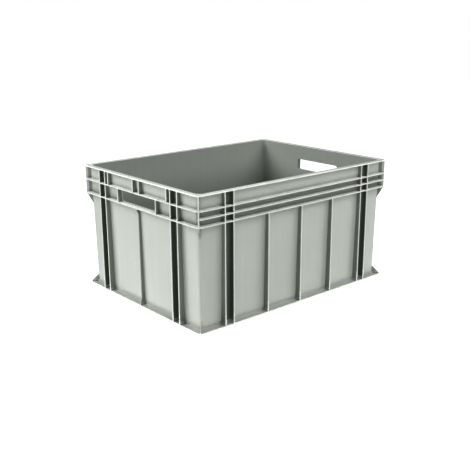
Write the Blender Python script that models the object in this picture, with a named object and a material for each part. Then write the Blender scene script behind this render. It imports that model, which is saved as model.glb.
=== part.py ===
"""Rigid open-top stacking crate of moulded plastic, 800 x 600 x 410 mm.

The crate is one moulding. It is modelled as its functional zones, one object each, with a fine gap
between neighbours: floor, stacking foot, base flange, drafted walls, rounded corner walls, top rim,
ribbed bands under the rim, corner pieces of those bands, wall ribs and corner gussets.
The origin is on the ground at the middle. X runs along the long sides, Z points up.
"""

import math

import bmesh
import bpy
from mathutils import Matrix

# Overall size.
LENGTH = 0.800
WIDTH = 0.600
HEIGHT = 0.410
GAP = 0.0003

# Levels. The flange lies on top of the stacking foot, which is the lowest part.
FOOT_HEIGHT = 0.008
PLATE = 0.004
FLANGE_BOTTOM = FOOT_HEIGHT
FLANGE_TOP = FLANGE_BOTTOM + PLATE
RIM_BOTTOM = HEIGHT - PLATE

# Centre heights of the level ribs under the rim.
UPPER_LEVEL = HEIGHT - 0.0450
MIDDLE_LEVEL = HEIGHT - 0.0675
LOWER_LEVEL = HEIGHT - 0.0900
RIB = 0.004
BAND_BOTTOM = LOWER_LEVEL - RIB / 2
BAND_TOP = RIM_BOTTOM - GAP

# Depths, measured inwards from the outer plane that the rim, the ribs and the flange share.
DRAFT = math.tan(math.radians(1.0))
RIM_WIDTH = 0.0165
BAND_DEPTH = 0.0135
WALL = 0.0035
FOOT_INSET = 0.0215
FOOT_WIDTH = 0.012

# Plan radii. The corner walls turn about one vertical axis, CORNER inside both outer planes.
RIM_RADIUS = 0.017
FLANGE_RADIUS = 0.014
CORNER = 0.032
ARC_STEPS = 6

# Upright ribs, by their distance from the middle of their side.
LONG_SIDE_PAIR = (0.3040, 0.2725)
LONG_SIDE_SINGLES = (-0.137, 0.0, 0.137)
END_PAIR = (0.2040, 0.1720)
END_STUBS = (0.1540, 0.0165)
POCKET_RIB = 0.1005
END_RIB_INSET = 0.008
END_RIB_FLARE = 0.018

# Hand holes.
HOLE_HALF_WIDTH = 0.097
HOLE_BOTTOM = 0.3235
HOLE_TOP = UPPER_LEVEL - RIB / 2
HOLE_RADIUS = 0.008

# Corner gussets.
RIM_GUSSET_DROP = 0.036
FOOT_GUSSET_RISE = 0.027

# Light grey polypropylene, slightly green.
PLASTIC_COLOUR = (0.503, 0.527, 0.484, 1.0)
PLASTIC_ROUGHNESS = 0.42

SIDES = {
    "front": (0, LENGTH, WIDTH),
    "right": (90, WIDTH, LENGTH),
    "rear": (180, LENGTH, WIDTH),
    "left": (270, WIDTH, LENGTH),
}
CORNERS = {
    "front_left": (1, 1),
    "front_right": (-1, 1),
    "rear_right": (-1, -1),
    "rear_left": (1, -1),
}


def inner_inset(level):
    """Depth of the inner wall face at a height: the crate narrows towards its floor."""
    return RIM_WIDTH + (HEIGHT - level) * DRAFT


def outer_inset(level):
    """Depth of the outer wall face at a height below the ribbed band."""
    return inner_inset(level) - WALL


def clear_scene():
    for obj in list(bpy.data.objects):
        bpy.data.objects.remove(obj, do_unlink=True)


def new_collection(name):
    collection = bpy.data.collections.new(name)
    bpy.context.scene.collection.children.link(collection)
    return collection


def plastic():
    """Satin light grey plastic."""
    material = bpy.data.materials.new("light_grey_plastic")
    material.use_nodes = True
    shader = material.node_tree.nodes["Principled BSDF"]
    shader.inputs["Base Color"].default_value = PLASTIC_COLOUR
    shader.inputs["Roughness"].default_value = PLASTIC_ROUGHNESS
    shader.inputs["Metallic"].default_value = 0.0
    material.diffuse_color = PLASTIC_COLOUR
    return material


def arc(centre_x, centre_y, radius, start, end, steps=ARC_STEPS):
    """Points along an arc, with both angles in degrees."""
    points = []
    for step in range(steps + 1):
        angle = math.radians(start + (end - start) * step / steps)
        points.append((centre_x + radius * math.cos(angle), centre_y + radius * math.sin(angle)))
    return points


def rounded_rectangle(half_x, half_y, radius):
    """Anticlockwise outline about the origin."""
    x = half_x - radius
    y = half_y - radius
    outline = arc(x, y, radius, 0, 90)
    outline += arc(-x, y, radius, 90, 180)
    outline += arc(-x, -y, radius, 180, 270)
    outline += arc(x, -y, radius, 270, 360)
    return outline


def mesh_of(obj):
    """The object's evaluated shape as a welded mesh of its own; the object is removed."""
    bpy.context.view_layer.update()
    evaluated = obj.evaluated_get(bpy.context.evaluated_depsgraph_get())
    mesh = bpy.data.meshes.new_from_object(evaluated)
    bpy.data.objects.remove(obj, do_unlink=True)
    shape = bmesh.new()
    shape.from_mesh(mesh)
    bmesh.ops.remove_doubles(shape, verts=shape.verts, dist=1e-6)
    bmesh.ops.recalc_face_normals(shape, faces=shape.faces)
    shape.to_mesh(mesh)
    shape.free()
    return mesh


def plate(outlines, thickness):
    """Mesh of flat outlines, later ones being holes, given a thickness centred on their plane."""
    curve = bpy.data.curves.new("outline", "CURVE")
    curve.dimensions = "2D"
    curve.fill_mode = "BOTH"
    curve.extrude = thickness / 2
    for outline in outlines:
        spline = curve.splines.new("POLY")
        spline.points.add(len(outline) - 1)
        for point, (x, y) in zip(spline.points, outline):
            point.co = (x, y, 0.0, 1.0)
        spline.use_cyclic_u = True
    obj = bpy.data.objects.new("outline", curve)
    bpy.context.scene.collection.objects.link(obj)
    return mesh_of(obj)


def box(low, high):
    """Mesh of a box between two opposite corners."""
    shape = bmesh.new()
    bmesh.ops.create_cube(shape, size=1.0)
    size = [b - a for a, b in zip(low, high)]
    middle = [(a + b) / 2 for a, b in zip(low, high)]
    bmesh.ops.scale(shape, vec=size, verts=shape.verts)
    bmesh.ops.translate(shape, vec=middle, verts=shape.verts)
    mesh = bpy.data.meshes.new("box")
    shape.to_mesh(mesh)
    shape.free()
    return mesh


def joined(meshes):
    """One closed mesh from meshes that overlap."""
    objects = []
    for mesh in meshes:
        obj = bpy.data.objects.new("piece", mesh)
        bpy.context.scene.collection.objects.link(obj)
        objects.append(obj)
    first = objects[0]
    for other in objects[1:]:
        modifier = first.modifiers.new("join", "BOOLEAN")
        modifier.operation = "UNION"
        modifier.solver = "EXACT"
        modifier.object = other
    mesh = mesh_of(first)
    for other in objects[1:]:
        bpy.data.objects.remove(other, do_unlink=True)
    return mesh


def add_part(name, mesh, parent=None, location=(0.0, 0.0, 0.0), rotation=(0.0, 0.0, 0.0)):
    """Places a mesh as a named part of the crate."""
    if not mesh.materials:
        mesh.materials.append(MATERIAL)
    obj = bpy.data.objects.new(name, mesh)
    CRATE.objects.link(obj)
    obj.parent = parent
    obj.location = location
    obj.rotation_euler = [math.radians(angle) for angle in rotation]
    return obj


def add_side_frame(side):
    """Empty turned to a side: its X runs along the side and its Y points inwards."""
    angle = SIDES[side][0]
    frame = bpy.data.objects.new("frame_" + side, None)
    CRATE.objects.link(frame)
    frame.rotation_euler = (0.0, 0.0, math.radians(angle))
    return frame


def add_corner_frame(corner):
    """Empty at a corner: its X and Y point inwards along the long side and the end."""
    sign_x, sign_y = CORNERS[corner]
    frame = bpy.data.objects.new("frame_" + corner, None)
    CRATE.objects.link(frame)
    frame.location = (-sign_x * LENGTH / 2, -sign_y * WIDTH / 2, 0.0)
    frame.scale = (sign_x, sign_y, 1.0)
    return frame


def plan_ring(outer_depth, outer_radius, inner_depth, inner_radius, thickness):
    """Level ring that follows the crate's outline between two depths."""
    outer = rounded_rectangle(LENGTH / 2 - outer_depth, WIDTH / 2 - outer_depth, outer_radius)
    inner = rounded_rectangle(LENGTH / 2 - inner_depth, WIDTH / 2 - inner_depth, inner_radius)
    return plate([outer, inner], thickness)


def add_level_parts():
    """The floor, the stacking foot, the base flange and the top rim."""
    floor_inset = inner_inset(FLANGE_BOTTOM) + GAP
    floor_outline = rounded_rectangle(
        LENGTH / 2 - floor_inset, WIDTH / 2 - floor_inset, CORNER - floor_inset
    )
    floor = plate([floor_outline], PLATE)
    add_part("floor_panel", floor, location=(0.0, 0.0, FLANGE_BOTTOM + PLATE / 2))

    foot_inner = FOOT_INSET + FOOT_WIDTH
    foot_height = FOOT_HEIGHT - GAP
    foot_radius = CORNER - FOOT_INSET
    foot = plan_ring(FOOT_INSET, foot_radius, foot_inner, foot_radius / 2, foot_height)
    add_part("stacking_foot", foot, location=(0.0, 0.0, foot_height / 2))

    flange_inner = outer_inset(FLANGE_TOP) - GAP
    flange = plan_ring(0.0, FLANGE_RADIUS, flange_inner, CORNER - flange_inner, PLATE)
    add_part("base_flange", flange, location=(0.0, 0.0, FLANGE_BOTTOM + PLATE / 2))

    rim = plan_ring(0.0, RIM_RADIUS, RIM_WIDTH, CORNER - RIM_WIDTH, PLATE)
    add_part("top_rim", rim, location=(0.0, 0.0, RIM_BOTTOM + PLATE / 2))


def wall_profile():
    """Cross-section of a wall as (depth, height): upright behind the band, drafted below it."""
    return [
        (outer_inset(FLANGE_BOTTOM), FLANGE_BOTTOM),
        (inner_inset(FLANGE_BOTTOM), FLANGE_BOTTOM),
        (inner_inset(BAND_TOP), BAND_TOP),
        (BAND_DEPTH, BAND_TOP),
        (BAND_DEPTH, LOWER_LEVEL),
        (outer_inset(BAND_BOTTOM), BAND_BOTTOM),
    ]


def add_flat_wall(name, side, frame):
    run = SIDES[side][1]
    reach = SIDES[side][2] / 2
    wall = plate([wall_profile()], run - 2 * (CORNER + GAP))
    return add_part(name, wall, frame, (0.0, -reach, 0.0), (90, 0, 90))


def add_hand_hole(wall, side, frame):
    """Slot with rounded ends through an end wall."""
    reach = SIDES[side][2] / 2
    middle = (HOLE_BOTTOM + HOLE_TOP) / 2
    half_height = (HOLE_TOP - HOLE_BOTTOM) / 2
    slot = plate([rounded_rectangle(HOLE_HALF_WIDTH, half_height, HOLE_RADIUS)], 4 * RIM_WIDTH)
    cutter = bpy.data.objects.new("hand_hole_cutter_" + side, slot)
    CUTTERS.objects.link(cutter)
    cutter.parent = frame
    cutter.location = (0.0, -reach, middle)
    cutter.rotation_euler = (math.radians(90), 0.0, 0.0)
    cutter.hide_render = True
    cutter.display_type = "WIRE"
    cut = wall.modifiers.new("hand_hole", "BOOLEAN")
    cut.operation = "DIFFERENCE"
    cut.solver = "EXACT"
    cut.object = cutter


def corner_wall_mesh():
    """The wall's cross-section turned a quarter about the corner axis."""
    shape = bmesh.new()
    profile = [shape.verts.new((depth, CORNER, height)) for depth, height in wall_profile()]
    face = shape.faces.new(profile)
    bmesh.ops.spin(
        shape,
        geom=[face, *face.edges, *face.verts],
        cent=(CORNER, CORNER, 0.0),
        axis=(0.0, 0.0, 1.0),
        angle=math.radians(90),
        steps=ARC_STEPS,
        use_duplicate=False,
    )
    bmesh.ops.recalc_face_normals(shape, faces=shape.faces)
    mesh = bpy.data.meshes.new("corner_wall")
    shape.to_mesh(mesh)
    shape.free()
    return mesh


def band_mesh(half_run, levels, uprights):
    """Grid of level and upright bars in front of a wall; uprights are (place, low, high)."""
    depth = BAND_DEPTH - GAP
    bars = []
    for level in levels:
        bars.append(box((-half_run, 0.0, level - RIB / 2), (half_run, depth, level + RIB / 2)))
    for place, low, high in uprights:
        bars.append(box((place - RIB / 2, 0.0, low), (place + RIB / 2, depth, high)))
    return joined(bars)


def mirrored(places):
    return [sign * place for sign in (-1, 1) for place in places]


def long_band_mesh():
    """Three level ribs, crossed by the upright pairs."""
    uprights = [(place, BAND_BOTTOM, BAND_TOP) for place in mirrored(LONG_SIDE_PAIR)]
    levels = (UPPER_LEVEL, MIDDLE_LEVEL, LOWER_LEVEL)
    return band_mesh(LENGTH / 2 - CORNER - GAP, levels, uprights)


def end_band_mesh():
    """Two level ribs with the upright pairs, short stubs above and ribs beside the hand hole."""
    uprights = [(place, BAND_BOTTOM, BAND_TOP) for place in mirrored(END_PAIR)]
    uprights += [(place, UPPER_LEVEL, BAND_TOP) for place in mirrored(END_STUBS)]
    uprights += [(place, LOWER_LEVEL, UPPER_LEVEL) for place in mirrored([POCKET_RIB])]
    return band_mesh(WIDTH / 2 - CORNER - GAP, (UPPER_LEVEL, LOWER_LEVEL), uprights)


def corner_band_outline(end_side):
    """Plan of a level rib round a corner; without end_side it stops at the diagonal."""
    inner_radius = CORNER - BAND_DEPTH + GAP
    stop = 180 if end_side else 225
    outline = [(CORNER, 0.0)]
    outline += arc(RIM_RADIUS, RIM_RADIUS, RIM_RADIUS, 270, stop)
    if end_side:
        outline.append((0.0, CORNER))
    outline += arc(CORNER, CORNER, inner_radius, stop, 270)
    return outline


def diagonal_plate(outline):
    """Plate through a corner's diagonal, its outline as (distance from the sharp corner, height)."""
    mesh = plate([outline], RIB)
    mesh.transform(Matrix.Rotation(math.radians(45), 4, "Z") @ Matrix.Rotation(math.radians(90), 4, "X"))
    return mesh


def on_diagonal(centre, radius):
    """Distance from the sharp corner to a corner arc, along the diagonal."""
    return centre * math.sqrt(2) - radius


def corner_band_mesh():
    """Corner of the ribbed band: the level ribs turn the corner about one diagonal rib."""
    bars = []
    for level, end_side in ((UPPER_LEVEL, True), (MIDDLE_LEVEL, False), (LOWER_LEVEL, True)):
        bar = plate([corner_band_outline(end_side)], RIB)
        bar.transform(Matrix.Translation((0.0, 0.0, level)))
        bars.append(bar)
    outer = on_diagonal(RIM_RADIUS, RIM_RADIUS)
    band_wall = on_diagonal(CORNER, CORNER - BAND_DEPTH) - GAP
    gusset_end = BAND_BOTTOM - RIM_GUSSET_DROP
    wall_top = on_diagonal(CORNER, CORNER - outer_inset(BAND_BOTTOM)) - GAP
    wall_end = on_diagonal(CORNER, CORNER - outer_inset(gusset_end)) - GAP
    outline = [
        (outer, BAND_BOTTOM),
        (wall_end - RIB / 2, gusset_end),
        (wall_end, gusset_end),
        (wall_top, BAND_BOTTOM),
        (band_wall, LOWER_LEVEL),
        (band_wall, BAND_TOP),
        (outer, BAND_TOP),
    ]
    bars.append(diagonal_plate(outline))
    return joined(bars)


def foot_gusset_mesh():
    """Triangular gusset from the flange's corner up to the corner wall."""
    low = FLANGE_TOP + GAP
    high = low + FOOT_GUSSET_RISE
    tip = on_diagonal(FLANGE_RADIUS, FLANGE_RADIUS) + GAP
    wall_low = on_diagonal(CORNER, CORNER - outer_inset(low)) - GAP
    wall_high = on_diagonal(CORNER, CORNER - outer_inset(high)) - GAP
    outline = [(tip, low), (wall_low, low), (wall_high, high), (wall_high - RIB / 4, high)]
    return diagonal_plate(outline)


def rib_outline(flared):
    """Side view of an upright wall rib as (depth, height), from the flange up to the band."""
    low = FLANGE_TOP + GAP
    high = BAND_BOTTOM - GAP
    outline = [(outer_inset(low) - GAP, low), (outer_inset(high) - GAP, high), (0.0, high)]
    if flared:
        outline.append((END_RIB_INSET, high - END_RIB_FLARE))
        outline.append((END_RIB_INSET, low + END_RIB_FLARE))
    outline.append((0.0, low))
    return outline


def add_wall_ribs(side, frame):
    """Upright ribs below the band, numbered along the side."""
    reach = SIDES[side][2] / 2
    if side in ("front", "rear"):
        full = [*mirrored(LONG_SIDE_PAIR), *LONG_SIDE_SINGLES]
        shallow = []
    else:
        full = mirrored(END_PAIR)
        shallow = [0.0]
    full_mesh = plate([rib_outline(False)], RIB)
    shallow_mesh = plate([rib_outline(True)], RIB)
    for number, place in enumerate(sorted(full + shallow), 1):
        mesh = shallow_mesh if place in shallow else full_mesh
        name = "wall_rib_%s_%d" % (side, number)
        add_part(name, mesh, frame, (place, -reach, 0.0), (90, 0, 90))


def add_sides():
    bands = {"front": long_band_mesh(), "left": end_band_mesh()}
    bands["rear"] = bands["front"]
    bands["right"] = bands["left"]
    for side, (_, _, across) in SIDES.items():
        frame = add_side_frame(side)
        kind = "long_wall_" if side in ("front", "rear") else "end_wall_"
        wall = add_flat_wall(kind + side, side, frame)
        if kind == "end_wall_":
            add_hand_hole(wall, side, frame)
        add_part("rim_band_" + side, bands[side], frame, (0.0, -across / 2, 0.0))
        add_wall_ribs(side, frame)


def add_corners():
    wall = corner_wall_mesh()
    band = corner_band_mesh()
    gusset = foot_gusset_mesh()
    for corner in CORNERS:
        frame = add_corner_frame(corner)
        add_part("corner_wall_" + corner, wall, frame)
        add_part("rim_corner_" + corner, band, frame)
        add_part("foot_gusset_" + corner, gusset, frame)


clear_scene()
CRATE = new_collection("stacking_crate")
CUTTERS = new_collection("cutters")
MATERIAL = plastic()
add_level_parts()
add_sides()
add_corners()
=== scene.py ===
"""Looks of the rigid stacking crate: its moulding as one seamless skin, shared out by zone.

The skin is laid on a net of upright columns and level rows that follows the crate's outline. Each
cell of the net is either raised to the outer plane, where a rib, the rim or the flange is, or lies
back on the wall. Every edge is then rounded, inside corners and outside corners alike.
"""

import math

import bmesh
import bpy
from mathutils import Matrix, Vector


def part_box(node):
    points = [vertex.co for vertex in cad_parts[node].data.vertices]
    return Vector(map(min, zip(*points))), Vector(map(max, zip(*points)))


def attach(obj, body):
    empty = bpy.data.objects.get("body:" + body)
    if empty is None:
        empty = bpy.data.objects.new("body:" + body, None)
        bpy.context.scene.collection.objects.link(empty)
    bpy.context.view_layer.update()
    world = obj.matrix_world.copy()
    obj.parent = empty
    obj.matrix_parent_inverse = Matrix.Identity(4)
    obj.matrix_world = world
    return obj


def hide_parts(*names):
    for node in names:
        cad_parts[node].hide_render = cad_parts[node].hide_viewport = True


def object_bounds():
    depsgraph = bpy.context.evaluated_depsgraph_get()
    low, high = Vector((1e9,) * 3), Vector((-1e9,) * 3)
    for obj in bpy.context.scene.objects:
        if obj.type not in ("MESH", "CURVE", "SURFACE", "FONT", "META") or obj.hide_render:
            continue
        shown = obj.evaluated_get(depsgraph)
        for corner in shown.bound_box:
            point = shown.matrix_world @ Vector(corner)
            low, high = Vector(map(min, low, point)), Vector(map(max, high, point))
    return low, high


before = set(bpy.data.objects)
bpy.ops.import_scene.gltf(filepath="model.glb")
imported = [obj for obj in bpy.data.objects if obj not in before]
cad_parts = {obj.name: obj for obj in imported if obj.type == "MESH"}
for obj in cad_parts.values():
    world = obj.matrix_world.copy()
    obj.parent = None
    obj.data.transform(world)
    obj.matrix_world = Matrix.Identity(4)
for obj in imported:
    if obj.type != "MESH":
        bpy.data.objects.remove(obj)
CAD_LOW, CAD_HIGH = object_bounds()

# Overall size and levels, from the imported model.
LENGTH = CAD_HIGH.x - CAD_LOW.x
WIDTH = CAD_HIGH.y - CAD_LOW.y
HEIGHT = CAD_HIGH.z
FLANGE_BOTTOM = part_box("base_flange")[0][2]
FLANGE_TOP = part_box("base_flange")[1][2]
RIM_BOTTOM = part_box("top_rim")[0][2]
FOOT_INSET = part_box("stacking_foot")[0][0] - CAD_LOW.x
BAND_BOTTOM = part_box("rim_band_front")[0][2]

# Thickness of every rib, and the middle heights of the rim band's level ribs.
RIB = 0.004
BAND_LEVELS = {"upper": HEIGHT - 0.0450, "middle": HEIGHT - 0.0675, "lower": BAND_BOTTOM + RIB / 2}

# The sides anticlockwise, and how many upright ribs each has below the band. Those nearer a side's
# middle than SINGLE_RIB_REACH stand alone and stop at the band, and the others stand in pairs.
SIDES = ("front", "right", "rear", "left")
LONG_SIDES = ("front", "rear")
RIB_COUNTS = {"front": 7, "right": 5, "rear": 7, "left": 5}
SINGLE_RIB_REACH = 0.15

# The walls' draft, the thicknesses of rim, wall and foot ring, the depth of the band's ribs, and the
# plan radius of the foot ring's inner corners.
DRAFT = math.tan(math.radians(1.0))
RIM_WIDTH = 0.0165
BAND_DEPTH = 0.0135
WALL = 0.0035
FOOT_WIDTH = 0.012
FOOT_INNER_RADIUS = 0.00525

# Plan radii of the walls' axis, of the rim with its ribs, and of the flange. Then the fillets where
# the outer wall meets the flange and the inner wall meets the floor.
CORNER = 0.032
RIM_RADIUS = 0.017
FLANGE_RADIUS = 0.014
WALL_FILLET = 0.008
FLOOR_FILLET = 0.006
FILLET_STEPS = 5

# The turn of each corner column in degrees, about the walls' axis and along the outer edge. The
# two middle columns are the faces of the diagonal rib, RIB apart.
CORNER_TURNS = (
    (7.5, -1, 0),
    (15, 0, 0),
    (22.5, 13, 0),
    (30, 26, 0),
    (45, 45, -1),
    (45, 45, 1),
    (60, 64, 0),
    (67.5, 77, 0),
    (75, 90, 0),
    (82.5, 91, 0),
)

# Where the diagonal rib's faces lie on a corner one unit long, and the most that half its
# thickness may turn about the corner's centre, in degrees.
DIAGONAL = (0.49, 0.51)
DIAGONAL_HALF_TURN = 10

# Ends: short stubs under the rim, ribs beside the hand hole, and the shallow middle rib. Corners:
# how far the diagonal rib's gussets run down the wall and up from the flange.
END_STUBS = (0.1540, 0.0165)
POCKET_RIB = 0.1005
MIDDLE_RIB_INSET = 0.008
MIDDLE_RIB_FLARE = 0.018
RIM_GUSSET_DROP = 0.036
FOOT_GUSSET_RISE = 0.027

# Hand holes, with the steps of each rounded corner.
HOLE_HALF_WIDTH = 0.0965
HOLE_BOTTOM = 0.3240
HOLE_TOP = 0.3610
HOLE_RADIUS = 0.008
HOLE_STEPS = 6

# Rounding of every edge that turns by more than EDGE_TURN degrees.
EDGE_RADIUS = 0.0006
EDGE_SEGMENTS = 2
EDGE_TURN = 32

# Heights and vertices within a micrometre of each other are one.
LEVEL_DIGITS = 6
MICROMETRES = 1e6

# Tones of the plastic, of the dust with painted light on top faces, of the painted shade, and of
# the pale edges, which are partly wear and partly painted highlight.
PLASTIC_DARK = (0.467, 0.488, 0.459, 1.0)
PLASTIC_LIGHT = (0.517, 0.538, 0.508, 1.0)
STREAK_TONE = (0.455, 0.475, 0.440, 1.0)
# Partly dust, partly painted light: the band's upward faces are made paler as if lit from above.
DUST_AND_TOP_LIGHT_TONE = (0.780, 0.795, 0.760, 1.0)
# Painted shade: this dark tone goes where shade falls, on the ribs' flanks, in channels and inside.
PAINTED_SHADE_TONE = (0.125, 0.141, 0.118, 1.0)
# Pale edges: partly wear, partly a painted highlight along every outer edge and on the rim's top.
WEAR_AND_HIGHLIGHT_TONE = (0.880, 0.895, 0.865, 1.0)
PAPER_TONE = (0.250, 0.250, 0.250, 1.0)
WHITE = (1.0, 1.0, 1.0, 1.0)

# How strongly each layer covers the plastic. The flank and level shares are of the painted shade,
# on the faces of the upright ribs and between the long sides' level ribs.
STREAK_COVER = 0.30
DUST_AND_TOP_LIGHT_COVER = 0.90
PAINTED_SHADE_COVER = 0.97
FLANK_SHADE_SHARE = 0.66
LEVEL_SHADE_SHARE = 0.50
# Painted shade inside the crate, growing darker further below the rim.
INSIDE_SHADE_COVER = 0.50
SCRATCH_COVER = 0.22
# The painted highlight is weaker on the corner gussets; painted light covers the rim's top.
GUSSET_HIGHLIGHT_LOSS = 0.45
RIM_TOP_HIGHLIGHT = 0.30

# Where each layer starts and is full: depths behind the outer plane, depths in front of the inner
# wall face, heights, reaches round a corner, and the upward share of a face's normal.
EDGE_HIGHLIGHT_DEPTHS = (0.0022, 0.0007)
LIP_DEPTHS = (RIM_WIDTH - 0.0025, RIM_WIDTH - 0.0012)
SHADE_DEPTHS = (0.001, 0.003)
CHANNEL_DEPTHS = (0.030, 0.026)
OUTSIDE_STANDOFFS = (WALL * 0.4, WALL * 0.6)
FACE_STANDOFFS = (WALL + 0.0004, WALL + 0.0012)
RIM_TOP_HEIGHTS = (HEIGHT - 0.0022, HEIGHT - 0.0004)
BELOW_RIM_HEIGHTS = (RIM_BOTTOM, RIM_BOTTOM - 0.001)
BAND_HEIGHTS = (BAND_BOTTOM - 0.002, BAND_BOTTOM)
INSIDE_SHADE_HEIGHTS = (HEIGHT - 0.055, HEIGHT - 0.200)
SHADE_HEIGHTS = (FLANGE_TOP + 0.004, FLANGE_TOP + 0.012)
GUSSET_HEIGHTS = (FLANGE_TOP + FOOT_GUSSET_RISE, FLANGE_TOP + FOOT_GUSSET_RISE + 0.010)
GUSSET_REACHES = (RIM_RADIUS / 2, RIM_RADIUS * 0.8)
UPWARD_FACES = (0.55, 0.90)
UPRIGHT_FACES = (0.70, 0.30)

# Noises over the crate: scale per metre, detail, and stretch along each axis.
EVEN = (1.0, 1.0, 1.0)
CLOUDS = (7.0, 3.0, EVEN)
STREAKS = (90.0, 2.0, (1.0, 1.0, 0.03))
GRAIN = (1500.0, 2.0, EVEN)
SCUFF = (55.0, 6.0, (1.0, 1.0, 2.5))
SCRATCH = (26.0, 3.0, (1.0, 1.0, 6.0))

# What the noises do, as the noise's limits and then the values at them, which are 0 and 1 where
# none are given: how much of the pale edges (wear and painted highlight) and of the dust with painted
# light is left, where streaks and scratches show, and how rough the plastic is. Dust adds roughness.
WEAR_AND_HIGHLIGHT_LEFT = (0.30, 0.62, 0.75, 1.0)
DUST_AND_TOP_LIGHT_LEFT = (0.30, 0.60, 0.60, 1.0)
STREAKED = (0.30, 0.70, 0.0, STREAK_COVER)
SCRATCHED = (0.52, 0.70)
SCRATCH_LINE = (0.006, 0.0)
ROUGHNESS = (0.25, 0.75, 0.36, 0.48)
TOP_FACE_ROUGHNESS = 0.15

# Relief of the surface: strength and distance in metres.
CLOUD_RELIEF = (0.35, 0.0010)
STREAK_RELIEF = (0.25, 0.00010)
GRAIN_RELIEF = (0.35, 0.00005)

# Softboxes round the crate: name, azimuth and elevation in degrees, and power. The ones below the
# floor stand for the light that white paper throws back up.
SOFTBOX_DISTANCE = 3.0
SOFTBOX_SIZE = 1.8
SOFTBOXES = (
    ("front_top", 0, 60, 20),
    ("front_left_high", -30, 38, 15),
    ("front_right_high", 30, 38, 40),
    ("left_high", -120, 38, 74),
    ("rear_high", 150, 38, 18),
    ("paper_rear_left", -130, -25, 24),
    ("paper_left", -90, -25, 46),
    ("paper_corner", -40, -25, 22),
    ("paper_front", 0, -25, 31),
    ("paper_right", 60, -25, 30),
)

# Even light from all round, the picture's contrast, and how far the paper reaches each way.
AMBIENT = 0.005
CONTRAST_GAMMA = 0.70
FLOOR_REACH = 40.0

# The camera: its place in metres, its turns in degrees, its lens and sensor in millimetres.
CAMERA_PLACE = (-1.5735, -1.8081, 0.8615)
CAMERA_AZIMUTH = -40.845
CAMERA_ELEVATION = 16.305
CAMERA_ROLL = -0.187
CAMERA_LENS = 56.62
CAMERA_SENSOR = 36.0


def inner_inset(level):
    """Depth of the inner wall face at a height."""
    return RIM_WIDTH + (HEIGHT - level) * DRAFT


def half_run(side):
    """Half the straight length of a side, between its two corner axes."""
    return (LENGTH if side in LONG_SIDES else WIDTH) / 2 - CORNER


def rib_names(side):
    """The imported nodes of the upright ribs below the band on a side."""
    return ["wall_rib_%s_%d" % (side, number) for number in range(1, RIB_COUNTS[side] + 1)]


def rib_places(side):
    """Where the upright ribs below the band stand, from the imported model."""
    axis = 0 if side in LONG_SIDES else 1
    places = []
    for name in rib_names(side):
        low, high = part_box(name)
        places.append((low[axis] + high[axis]) / 2)
    return sorted(places)


def raised_areas(side):
    """Areas of a side that stand out to the outer plane, as (start, end, low, high).

    A place on the side counts from its middle, and the corner after it runs over one more unit.
    """
    half = half_run(side)
    long_side = side in LONG_SIDES
    areas = [(-half, half + 1, FLANGE_BOTTOM, FLANGE_TOP), (-half, half + 1, RIM_BOTTOM, HEIGHT)]
    for name, level in BAND_LEVELS.items():
        start, end = -half, half + 1
        if name == "middle" and long_side:
            end = half + DIAGONAL[1]
        if name == "middle" and not long_side:
            start = half + DIAGONAL[0]
        areas.append((start, end, level - RIB / 2, level + RIB / 2))
    uprights = []
    for place in rib_places(side):
        single = abs(place) < SINGLE_RIB_REACH
        uprights.append((place, FLANGE_TOP, BAND_BOTTOM if single else RIM_BOTTOM))
    if not long_side:
        for place in END_STUBS:
            uprights += [(sign * place, BAND_LEVELS["upper"], RIM_BOTTOM) for sign in (-1, 1)]
        for sign in (-1, 1):
            uprights.append((sign * POCKET_RIB, BAND_LEVELS["lower"], BAND_LEVELS["upper"]))
    for place, low, high in uprights:
        areas.append((place - RIB / 2, place + RIB / 2, low, high))
    diagonal = [half + part for part in DIAGONAL]
    areas.append((*diagonal, BAND_BOTTOM - RIM_GUSSET_DROP, RIM_BOTTOM))
    areas.append((*diagonal, FLANGE_TOP, FLANGE_TOP + FOOT_GUSSET_RISE))
    return areas


class Column:
    """An upright line of the net, on a side or on the corner after it."""

    def __init__(self, side, place, turns=None):
        self.side = side
        self.place = place
        self.turns = turns

    def on_outline(self, depth, radius):
        """Plan point on the outline at a depth, whose corners have their centres at a radius."""
        run = half_run(self.side) + CORNER
        across = half_run(SIDES[SIDES.index(self.side) - 1]) + CORNER
        if self.turns is None:
            limit = run - max(radius, CORNER)
            x = max(-limit, min(limit, self.place))
            y = -across + depth
        else:
            wall_turn, edge_turn, shift = self.turns
            turn = wall_turn if radius >= CORNER else edge_turn
            bend = radius - depth
            if 0 <= turn <= 90:
                most = bend * math.sin(math.radians(DIAGONAL_HALF_TURN))
                offset = shift * min(RIB / 2, most)
                angle = math.radians(turn) + math.asin(offset / bend)
                x = run - radius + bend * math.sin(angle)
                y = -across + radius - bend * math.cos(angle)
            # A sharper edge is still straight at the first and last turns of the walls' corner.
            elif turn < 0:
                x = run - (radius + CORNER) / 2
                y = -across + depth
            else:
                x = run - depth
                y = -across + (radius + CORNER) / 2
        angle = math.radians(90 * SIDES.index(self.side))
        return Vector((x, y, 0.0)) @ Matrix.Rotation(-angle, 3, "Z")


def net_columns():
    """All columns, anticlockwise from the front side's left end."""
    columns = []
    for side in SIDES:
        half = half_run(side)
        places = {-half, half}
        for start, end, _, _ in raised_areas(side):
            places |= {place for place in (start, end) if abs(place) < half}
        columns += [Column(side, place) for place in sorted(places)]
        for number, turns in enumerate(CORNER_TURNS):
            if turns[2]:
                part = DIAGONAL[0] if turns[2] < 0 else DIAGONAL[1]
            else:
                part = turns[0] / 90
            columns.append(Column(side, half + part, turns))
    return columns


def fillet_rows(low, radius):
    """Heights of a fillet's rows above a level, and how far each curves in from the upright."""
    rows = []
    for step in range(FILLET_STEPS + 1):
        angle = math.radians(90 * step / FILLET_STEPS)
        rows.append((low + radius * (1 - math.cos(angle)), radius * (1 - math.sin(angle))))
    return rows


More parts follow.
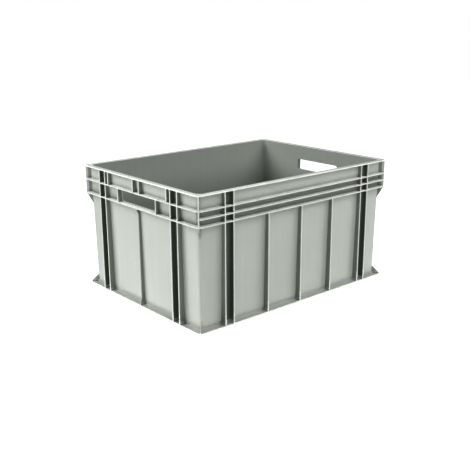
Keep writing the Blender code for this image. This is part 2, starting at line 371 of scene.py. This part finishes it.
def back_depth(level):
    """Depth of the outer wall face: upright behind the band, drafted below, filleted at its foot."""
    if level > BAND_LEVELS["lower"]:
        return BAND_DEPTH
    depth = inner_inset(level) - WALL
    rise = level - FLANGE_TOP
    if rise < WALL_FILLET:
        height = WALL_FILLET - max(rise, 0.0)
        depth -= WALL_FILLET - math.sqrt(WALL_FILLET**2 - height**2)
    return depth


def back_point(column, level):
    """Point on the outer wall face."""
    point = column.on_outline(back_depth(level), CORNER)
    point.z = level
    return point


def edge_point(column, level):
    """Point on the outer plane; the flange's corners are a little sharper than the rim's."""
    radius = FLANGE_RADIUS if level < FLANGE_TOP + EDGE_RADIUS else RIM_RADIUS
    point = column.on_outline(0.0, radius)
    point.z = level
    return point


def front_point(column, level):
    """Point on a rib's front edge. Gussets slope from the outer plane back to the wall."""
    if column.turns and column.turns[2]:
        foot_end = FLANGE_TOP + FOOT_GUSSET_RISE
        rim_end = BAND_BOTTOM - RIM_GUSSET_DROP
        if FLANGE_TOP < level <= foot_end:
            part = (level - FLANGE_TOP) / FOOT_GUSSET_RISE
            return edge_point(column, FLANGE_TOP).lerp(back_point(column, foot_end), part)
        if rim_end <= level < BAND_BOTTOM:
            part = (BAND_BOTTOM - level) / RIM_GUSSET_DROP
            return edge_point(column, BAND_BOTTOM).lerp(back_point(column, rim_end), part)
    point = edge_point(column, level)
    if column.side not in LONG_SIDES and abs(column.place) < RIB:
        near_end = min(level - FLANGE_TOP, BAND_BOTTOM - level)
        inset = MIDDLE_RIB_INSET * max(0.0, min(1.0, near_end / MIDDLE_RIB_FLARE))
        point = column.on_outline(inset, CORNER)
        point.z = level
    return point


class Skin:
    """Closed mesh under construction, with each vertex made once."""

    def __init__(self):
        self.shape = bmesh.new()
        self.vertices = {}

    def vertex(self, point):
        key = tuple(round(value * MICROMETRES) for value in point)
        if key not in self.vertices:
            self.vertices[key] = self.shape.verts.new(point)
        return self.vertices[key]

    def face(self, *points):
        corners = list(dict.fromkeys(self.vertex(point) for point in points))
        if len(corners) > 2:
            self.shape.faces.new(corners)

    def loops(self, loops):
        """Joins closed loops of points one after another."""
        for first, second in zip(loops, loops[1:]):
            for i in range(len(first)):
                self.face(first[i - 1], first[i], second[i], second[i - 1])

    def mesh(self, name):
        bmesh.ops.recalc_face_normals(self.shape, faces=self.shape.faces)
        mesh = bpy.data.meshes.new(name)
        self.shape.to_mesh(mesh)
        self.shape.free()
        return mesh


def net_rows():
    """All row heights of the outer skin, from the flange's underside to the rim's top."""
    levels = [level for level, _ in fillet_rows(FLANGE_TOP, WALL_FILLET)]
    for side in SIDES:
        for _, _, low, high in raised_areas(side):
            levels += [low, high]
    levels += [FLANGE_TOP + MIDDLE_RIB_FLARE, BAND_BOTTOM - MIDDLE_RIB_FLARE]
    rows = {round(level, LEVEL_DIGITS) for level in levels}
    rows -= {round(level, LEVEL_DIGITS) for level in BAND_LEVELS.values()}
    return sorted(rows)


def add_outer_skin(skin, columns, rows):
    """Lays the net's cells, with steps between raised cells and the wall."""
    areas = {side: raised_areas(side) for side in SIDES}
    points = {}
    for i, column in enumerate(columns):
        for j, level in enumerate(rows):
            points[i, j, True] = front_point(column, level)
            points[i, j, False] = back_point(column, level)

    def raised(i, j):
        column = columns[i]
        after = columns[(i + 1) % len(columns)]
        end = after.place if after.side == column.side else half_run(column.side) + 1
        place = (column.place + end) / 2
        level = (rows[j] + rows[j + 1]) / 2
        return any(a < place < b and low < level < high for a, b, low, high in areas[column.side])

    for i in range(len(columns)):
        k = (i + 1) % len(columns)
        for j in range(len(rows) - 1):
            up = raised(i, j)
            skin.face(points[i, j, up], points[k, j, up], points[k, j + 1, up], points[i, j + 1, up])
            if up != raised(k, j):
                around = ((j, True), (j + 1, True), (j + 1, False), (j, False))
                skin.face(*(points[k, row, state] for row, state in around))
            if j + 2 < len(rows) and up != raised(i, j + 1):
                around = ((i, True), (k, True), (k, False), (i, False))
                skin.face(*(points[at, j + 1, state] for at, state in around))


def loop_at(columns, depth, radius, level):
    """Level loop of points round the crate at a depth."""
    loop = []
    for column in columns:
        point = column.on_outline(depth, radius)
        point.z = level
        loop.append(point)
    return loop


def add_inside(skin, columns):
    """The rim's top, the inner wall faces with their floor fillet, and the floor."""
    loops = [[edge_point(column, HEIGHT) for column in columns]]
    loops.append(loop_at(columns, inner_inset(HEIGHT), CORNER, HEIGHT))
    for level, curve in reversed(fillet_rows(FLANGE_TOP, FLOOR_FILLET)):
        loops.append(loop_at(columns, inner_inset(level) + curve, CORNER, level))
    skin.loops(loops)
    skin.face(*loops[-1])


def add_underside(skin, columns):
    """The flange's underside, the stacking foot and the floor's underside."""
    foot_inner = FOOT_INSET + FOOT_WIDTH
    inner_radius = foot_inner + FOOT_INNER_RADIUS
    loops = [[edge_point(column, FLANGE_BOTTOM) for column in columns]]
    loops.append(loop_at(columns, FOOT_INSET, CORNER, FLANGE_BOTTOM))
    loops.append(loop_at(columns, FOOT_INSET, CORNER, 0.0))
    loops.append(loop_at(columns, foot_inner, inner_radius, 0.0))
    loops.append(loop_at(columns, foot_inner, inner_radius, FLANGE_BOTTOM))
    skin.loops(loops)
    skin.face(*loops[-1])


def hand_hole_cutter():
    """Two slots with rounded corners, each from within the band's depth to inside the crate."""
    skin = Skin()
    half_height = (HOLE_TOP - HOLE_BOTTOM) / 2
    middle = (HOLE_TOP + HOLE_BOTTOM) / 2
    outline = []
    for quarter, (sign_y, sign_z) in enumerate(((1, 1), (-1, 1), (-1, -1), (1, -1))):
        for step in range(HOLE_STEPS + 1):
            angle = math.radians(90 * quarter + 90 / HOLE_STEPS * step)
            y = sign_y * (HOLE_HALF_WIDTH - HOLE_RADIUS) + HOLE_RADIUS * math.cos(angle)
            z = middle + sign_z * (half_height - HOLE_RADIUS) + HOLE_RADIUS * math.sin(angle)
            outline.append((y, z))
    for sign in (-1, 1):
        outer = [Vector((sign * (LENGTH / 2 - BAND_DEPTH / 2), y, z)) for y, z in outline]
        inner = [Vector((sign * (LENGTH / 2 - 2 * RIM_WIDTH), y, z)) for y, z in outline]
        skin.loops([outer, inner])
        skin.face(*outer)
        skin.face(*inner)
    return skin.mesh("hand_holes")


def moulding_mesh():
    """The whole moulding with its hand holes cut and every edge rounded."""
    columns = net_columns()
    skin = Skin()
    add_outer_skin(skin, columns, net_rows())
    add_inside(skin, columns)
    add_underside(skin, columns)
    body = bpy.data.objects.new("moulding", skin.mesh("moulding"))
    cutter = bpy.data.objects.new("hand_holes", hand_hole_cutter())
    for obj in (body, cutter):
        bpy.context.scene.collection.objects.link(obj)
    cut = body.modifiers.new("hand_holes", "BOOLEAN")
    cut.operation = "DIFFERENCE"
    cut.solver = "EXACT"
    cut.object = cutter
    rounding = body.modifiers.new("rounding", "BEVEL")
    rounding.width = EDGE_RADIUS
    rounding.segments = EDGE_SEGMENTS
    rounding.limit_method = "ANGLE"
    rounding.angle_limit = math.radians(EDGE_TURN)
    rounding.use_clamp_overlap = False
    rounding.harden_normals = True
    for polygon in body.data.polygons:
        polygon.use_smooth = True
    bpy.context.view_layer.update()
    evaluated = body.evaluated_get(bpy.context.evaluated_depsgraph_get())
    mesh = bpy.data.meshes.new_from_object(evaluated)
    for vertex in mesh.vertices:
        vertex.co.x = max(CAD_LOW.x, min(CAD_HIGH.x, vertex.co.x))
        vertex.co.y = max(CAD_LOW.y, min(CAD_HIGH.y, vertex.co.y))
    for obj in (body, cutter):
        bpy.data.objects.remove(obj, do_unlink=True)
    return mesh


def zone_of(centre):
    """Name of the zone that a face belongs to."""
    x = LENGTH / 2 - abs(centre.x)
    y = WIDTH / 2 - abs(centre.y)
    across = "left" if centre.x < 0 else "right"
    along = "front" if centre.y < 0 else "rear"
    if centre.z < FLANGE_TOP + EDGE_RADIUS / 4:
        return "base"
    if centre.z > RIM_BOTTOM - EDGE_RADIUS:
        return "rim"
    if x < CORNER and y < CORNER:
        return "corner_%s_%s" % (along, across)
    return "side_" + (along if y < CORNER else across)


def replaced_nodes(zone):
    """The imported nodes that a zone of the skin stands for."""
    if zone == "base":
        return ["base_flange", "stacking_foot", "floor_panel"]
    if zone == "rim":
        return ["top_rim"]
    kind, _, where = zone.partition("_")
    if kind == "corner":
        return [name + where for name in ("corner_wall_", "rim_corner_", "foot_gusset_")]
    wall = "long_wall_" if where in LONG_SIDES else "end_wall_"
    return [wall + where, "rim_band_" + where, *rib_names(where)]


def add_zones(whole, material):
    """Shares the moulding's faces out by zone, each corner keeping its normal."""
    zones = {}
    for polygon in whole.polygons:
        zones.setdefault(zone_of(polygon.center), []).append(polygon)
    for zone, polygons in sorted(zones.items()):
        index = {}
        faces = []
        normals = []
        for polygon in polygons:
            faces.append([index.setdefault(vertex, len(index)) for vertex in polygon.vertices])
            normals += [whole.corner_normals[loop].vector for loop in polygon.loop_indices]
        mesh = bpy.data.meshes.new("crate_" + zone)
        mesh.from_pydata([whole.vertices[vertex].co for vertex in index], [], faces)
        for polygon in mesh.polygons:
            polygon.use_smooth = True
        mesh.normals_split_custom_set(normals)
        mesh.materials.append(material)
        piece = bpy.data.objects.new("crate_" + zone, mesh)
        bpy.context.scene.collection.objects.link(piece)
        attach(piece, "root")
        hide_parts(*replaced_nodes(zone))


def shader_node(tree, kind, inputs, **settings):
    """Adds a shader node; each input is given a value or joined to another node's output."""
    made = tree.nodes.new(kind)
    for name, value in settings.items():
        setattr(made, name, value)
    for key, value in inputs.items():
        if isinstance(value, bpy.types.NodeSocket):
            tree.links.new(value, made.inputs[key])
        else:
            made.inputs[key].default_value = value
    return made


def math_node(tree, operation, *inputs):
    """Operation on values, such as a sum, a product or the greater of two."""
    return shader_node(tree, "ShaderNodeMath", dict(enumerate(inputs)), operation=operation).outputs[0]


def vector_node(tree, operation, *inputs):
    """Operation on vectors; the length is a value and the others are vectors."""
    made = shader_node(tree, "ShaderNodeVectorMath", dict(enumerate(inputs)), operation=operation)
    return made.outputs["Value" if operation == "LENGTH" else "Vector"]


def smooth_range(tree, value, low, high, out_low=0.0, out_high=1.0):
    """Smooth step of a value between two limits."""
    inputs = {0: value, 1: low, 2: high, 3: out_low, 4: out_high}
    made = shader_node(tree, "ShaderNodeMapRange", inputs, interpolation_type="SMOOTHSTEP")
    return made.outputs[0]


def noise(tree, place, scale, detail, stretch):
    """Noise over the crate, whose coordinates are stretched by an amount along each axis."""
    mapping = shader_node(tree, "ShaderNodeMapping", {"Vector": place, "Scale": stretch})
    inputs = {"Vector": mapping.outputs[0], "Scale": scale, "Detail": detail}
    return shader_node(tree, "ShaderNodeTexNoise", inputs).outputs[0]


def cover(tree, factor, under, over):
    """Colour under a layer, covered by the layer's colour as far as the factor says."""
    inputs = {0: factor, 6: under, 7: over}
    return shader_node(tree, "ShaderNodeMix", inputs, data_type="RGBA").outputs[2]


def product(tree, first, *others):
    """Product of two or more values."""
    for other in others:
        first = math_node(tree, "MULTIPLY", first, other)
    return first


def opposite(tree, value):
    """What a value lacks of one."""
    return math_node(tree, "SUBTRACT", 1.0, value)


def upward_part(tree, vector):
    """The z of a vector."""
    return shader_node(tree, "ShaderNodeSeparateXYZ", {0: vector}).outputs[2]


def depth_behind(tree, place, radius):
    """Depth of a point behind the outer plane with its corners at a radius, and its corner reach."""
    straight = (LENGTH / 2 - radius, WIDTH / 2 - radius, 0.0)
    beyond = vector_node(tree, "SUBTRACT", vector_node(tree, "ABSOLUTE", place), straight)
    plan = vector_node(tree, "MULTIPLY", beyond, (1.0, 1.0, 0.0))
    reach = vector_node(tree, "LENGTH", vector_node(tree, "MAXIMUM", plan, (0.0, 0.0, 0.0)))
    parts = shader_node(tree, "ShaderNodeSeparateXYZ", {0: plan})
    nearer = math_node(tree, "MAXIMUM", parts.outputs[0], parts.outputs[1])
    inside = math_node(tree, "MINIMUM", nearer, 0.0)
    return math_node(tree, "SUBTRACT", radius, math_node(tree, "ADD", reach, inside)), reach


def channels(tree, place, height):
    """Where painted shade goes: between the paired ribs, and less between the long sides' level ribs.
    """
    spread = shader_node(tree, "ShaderNodeSeparateXYZ", {0: vector_node(tree, "ABSOLUTE", place)})
    bands = []
    for axis, side, across in ((0, "front", WIDTH), (1, "left", LENGTH)):
        inner, outer = [abs(position) for position in rib_places(side)[-2:]]
        off = math_node(tree, "SUBTRACT", spread.outputs[axis], (inner + outer) / 2)
        half = (outer - inner) / 2
        band = smooth_range(tree, math_node(tree, "ABSOLUTE", off), half, half - RIB / 2)
        limits = [across / 2 - depth for depth in CHANNEL_DEPTHS]
        near = smooth_range(tree, spread.outputs[1 - axis], *limits)
        bands.append(product(tree, band, near))
        if side == "front":
            low, high = BAND_LEVELS["lower"], BAND_LEVELS["upper"]
            level_band = smooth_range(tree, height, low, low + RIB / 2, 0.0, LEVEL_SHADE_SHARE)
            level_end = smooth_range(tree, height, high, high - RIB / 2)
            bands.append(product(tree, level_band, level_end, near))
    return math_node(tree, "MAXIMUM", math_node(tree, "MAXIMUM", *bands[:2]), bands[2])


def edge_highlight_and_wear_mask(tree, place, height, rim_top):
    """Pale edges, partly wear and partly painted highlight: all on the outer plane, and the rim's top
    with painted light, brightest at its inner lip.
    """
    depth, reach = depth_behind(tree, place, RIM_RADIUS)
    gusset = product(
        tree,
        smooth_range(tree, reach, *GUSSET_REACHES),
        smooth_range(tree, height, *BELOW_RIM_HEIGHTS),
        smooth_range(tree, height, *GUSSET_HEIGHTS),
    )
    kept = math_node(tree, "MULTIPLY_ADD", gusset, -GUSSET_HIGHLIGHT_LOSS, 1.0)
    highlighted_edges = product(tree, smooth_range(tree, depth, *EDGE_HIGHLIGHT_DEPTHS), kept)
    lip = smooth_range(tree, depth, *LIP_DEPTHS, RIM_TOP_HIGHLIGHT, 1.0)
    return math_node(tree, "MAXIMUM", highlighted_edges, product(tree, rim_top, lip))


def painted_shade_mask(tree, place, height, depth, standoff, outside, tilt):
    """Painted shade on the faces of the upright ribs and in the narrow channels, where shade falls."""
    sheltered = smooth_range(tree, depth, *SHADE_DEPTHS)
    faces = product(tree, smooth_range(tree, standoff, *FACE_STANDOFFS), FLANK_SHADE_SHARE)
    hidden = product(tree, channels(tree, place, height), outside)
    painted_shade = product(tree, math_node(tree, "MAXIMUM", faces, hidden), sheltered)
    upright = smooth_range(tree, math_node(tree, "ABSOLUTE", tilt), *UPRIGHT_FACES)
    above_foot = smooth_range(tree, height, *SHADE_HEIGHTS)
    return product(tree, painted_shade, upright, above_foot)


def plastic_material():
    """Satin moulded polypropylene: grain, streaks, painted shade, dust and painted top light, and pale
    edges of wear and painted highlight.
    """
    material = bpy.data.materials.new("grey_polypropylene")
    material.use_nodes = True
    tree = material.node_tree
    shader = tree.nodes["Principled BSDF"]
    place = shader_node(tree, "ShaderNodeTexCoord", {}).outputs["Object"]
    height = upward_part(tree, place)
    normal = shader_node(tree, "ShaderNodeNewGeometry", {}).outputs["True Normal"]
    tilt = upward_part(tree, normal)
    depth, _ = depth_behind(tree, place, CORNER)
    inner_face = math_node(tree, "MULTIPLY_ADD", height, -DRAFT, RIM_WIDTH + HEIGHT * DRAFT)
    standoff = math_node(tree, "SUBTRACT", inner_face, depth)
    outside = smooth_range(tree, standoff, *OUTSIDE_STANDOFFS)
    rim_top = smooth_range(tree, height, *RIM_TOP_HEIGHTS)

    clouds = noise(tree, place, *CLOUDS)
    streaks = noise(tree, place, *STREAKS)
    grain = noise(tree, place, *GRAIN)
    scuff = noise(tree, place, *SCUFF)
    scratch = noise(tree, place, *SCRATCH)

    # Painted highlight on the outer edges and rim, mixed with scuffed wear.
    highlighted_edges = edge_highlight_and_wear_mask(tree, place, height, rim_top)
    edge_wear_and_highlight = product(tree, highlighted_edges, smooth_range(tree, scuff, *WEAR_AND_HIGHLIGHT_LEFT))
    off_line = math_node(tree, "ABSOLUTE", math_node(tree, "SUBTRACT", scratch, 0.5))
    scratched = smooth_range(tree, off_line, *SCRATCH_LINE)
    scratched = product(tree, scratched, smooth_range(tree, clouds, *SCRATCHED), SCRATCH_COVER)
    upward = smooth_range(tree, tilt, *UPWARD_FACES)
    banded = smooth_range(tree, height, *BAND_HEIGHTS)
    # Dust and painted light on the band's upward faces, which the lamps below leave dark.
    upward_band_faces = product(tree, upward, outside, banded, opposite(tree, rim_top))
    dust_and_top_light = product(tree, upward_band_faces, smooth_range(tree, scuff, *DUST_AND_TOP_LIGHT_LEFT))
    # Painted shade on the faces of the upright ribs, in the paired ribs' channels and between level
    # ribs.
    painted_shade = painted_shade_mask(tree, place, height, depth, standoff, outside, tilt)
    # Painted shade inside the crate: darker further below the rim.
    inside_shade = product(tree, smooth_range(tree, height, *INSIDE_SHADE_HEIGHTS), opposite(tree, outside))

    colour = cover(tree, clouds, PLASTIC_DARK, PLASTIC_LIGHT)
    colour = cover(tree, smooth_range(tree, streaks, *STREAKED), colour, STREAK_TONE)
    colour = cover(tree, product(tree, dust_and_top_light, DUST_AND_TOP_LIGHT_COVER), colour, DUST_AND_TOP_LIGHT_TONE)
    colour = cover(tree, product(tree, painted_shade, PAINTED_SHADE_COVER), colour, PAINTED_SHADE_TONE)
    colour = cover(tree, product(tree, inside_shade, INSIDE_SHADE_COVER), colour, PAINTED_SHADE_TONE)
    colour = cover(tree, math_node(tree, "MAXIMUM", edge_wear_and_highlight, scratched), colour, WEAR_AND_HIGHLIGHT_TONE)
    tree.links.new(colour, shader.inputs["Base Color"])

    rough = smooth_range(tree, scuff, *ROUGHNESS)
    rough = math_node(tree, "MULTIPLY_ADD", dust_and_top_light, TOP_FACE_ROUGHNESS, rough)
    tree.links.new(rough, shader.inputs["Roughness"])

    surface = {}
    reliefs = ((clouds, CLOUD_RELIEF), (streaks, STREAK_RELIEF), (grain, GRAIN_RELIEF))
    for relief, (strength, distance) in reliefs:
        inputs = {"Strength": strength, "Distance": distance, "Height": relief, **surface}
        surface = {"Normal": shader_node(tree, "ShaderNodeBump", inputs).outputs[0]}
    tree.links.new(surface["Normal"], shader.inputs["Normal"])
    return material


def add_floor():
    """White paper under the crate, lit so brightly that no shadow shows on it."""
    shape = bmesh.new()
    bmesh.ops.create_grid(shape, x_segments=8, y_segments=8, size=FLOOR_REACH)
    mesh = bpy.data.meshes.new("floor")
    shape.to_mesh(mesh)
    shape.free()
    material = bpy.data.materials.new("white_paper")
    material.use_nodes = True
    shader = material.node_tree.nodes["Principled BSDF"]
    shader.inputs["Base Color"].default_value = PAPER_TONE
    shader.inputs["Roughness"].default_value = 1.0
    shader.inputs["Specular IOR Level"].default_value = 0.0
    shader.inputs["Emission Color"].default_value = WHITE
    shader.inputs["Emission Strength"].default_value = 1.0
    mesh.materials.append(material)
    floor = bpy.data.objects.new("floor", mesh)
    floor.visible_diffuse = False
    floor.visible_glossy = False
    floor.visible_shadow = False
    bpy.context.scene.collection.objects.link(floor)


def way_out(azimuth, elevation):
    """Direction from the crate at an azimuth and elevation in degrees; 0 is off the front."""
    a = math.radians(azimuth)
    e = math.radians(elevation)
    return Vector((math.sin(a) * math.cos(e), -math.cos(a) * math.cos(e), math.sin(e)))


def add_softbox(name, azimuth, elevation, power):
    """Square soft light aimed at the crate from an azimuth and elevation in degrees."""
    data = bpy.data.lights.new(name, "AREA")
    data.shape = "SQUARE"
    data.size = SOFTBOX_SIZE
    data.energy = power
    way = way_out(azimuth, elevation)
    light = bpy.data.objects.new(name, data)
    light.location = way * SOFTBOX_DISTANCE + Vector((0.0, 0.0, HEIGHT / 2))
    light.rotation_euler = way.to_track_quat("Z", "Y").to_euler()
    light.visible_camera = False
    bpy.context.scene.collection.objects.link(light)


def add_camera():
    """Eye level a little above the rim, off the near corner."""
    data = bpy.data.cameras.new("camera")
    data.sensor_width = CAMERA_SENSOR
    data.lens = CAMERA_LENS
    camera = bpy.data.objects.new("camera", data)
    camera.location = CAMERA_PLACE
    turn = way_out(CAMERA_AZIMUTH, CAMERA_ELEVATION).to_track_quat("Z", "Y").to_matrix().to_4x4()
    roll = Matrix.Rotation(math.radians(CAMERA_ROLL), 4, "Z")
    camera.rotation_euler = (turn @ roll).to_euler()
    bpy.context.scene.collection.objects.link(camera)
    bpy.context.scene.camera = camera


def add_world():
    """White behind everything the camera sees, and a faint even light on the crate."""
    world = bpy.data.worlds.new("studio")
    world.use_nodes = True
    tree = world.node_tree
    seen = shader_node(tree, "ShaderNodeLightPath", {}).outputs["Is Camera Ray"]
    strength = smooth_range(tree, seen, 0.0, 1.0, AMBIENT, 1.0)
    background = tree.nodes["Background"]
    background.inputs["Color"].default_value = WHITE
    tree.links.new(strength, background.inputs["Strength"])
    bpy.context.scene.world = world


add_zones(moulding_mesh(), plastic_material())
add_floor()
for softbox in SOFTBOXES:
    add_softbox(*softbox)
add_camera()
add_world()
bpy.context.scene.view_settings.view_transform = "Standard"
bpy.context.scene.view_settings.gamma = CONTRAST_GAMMA
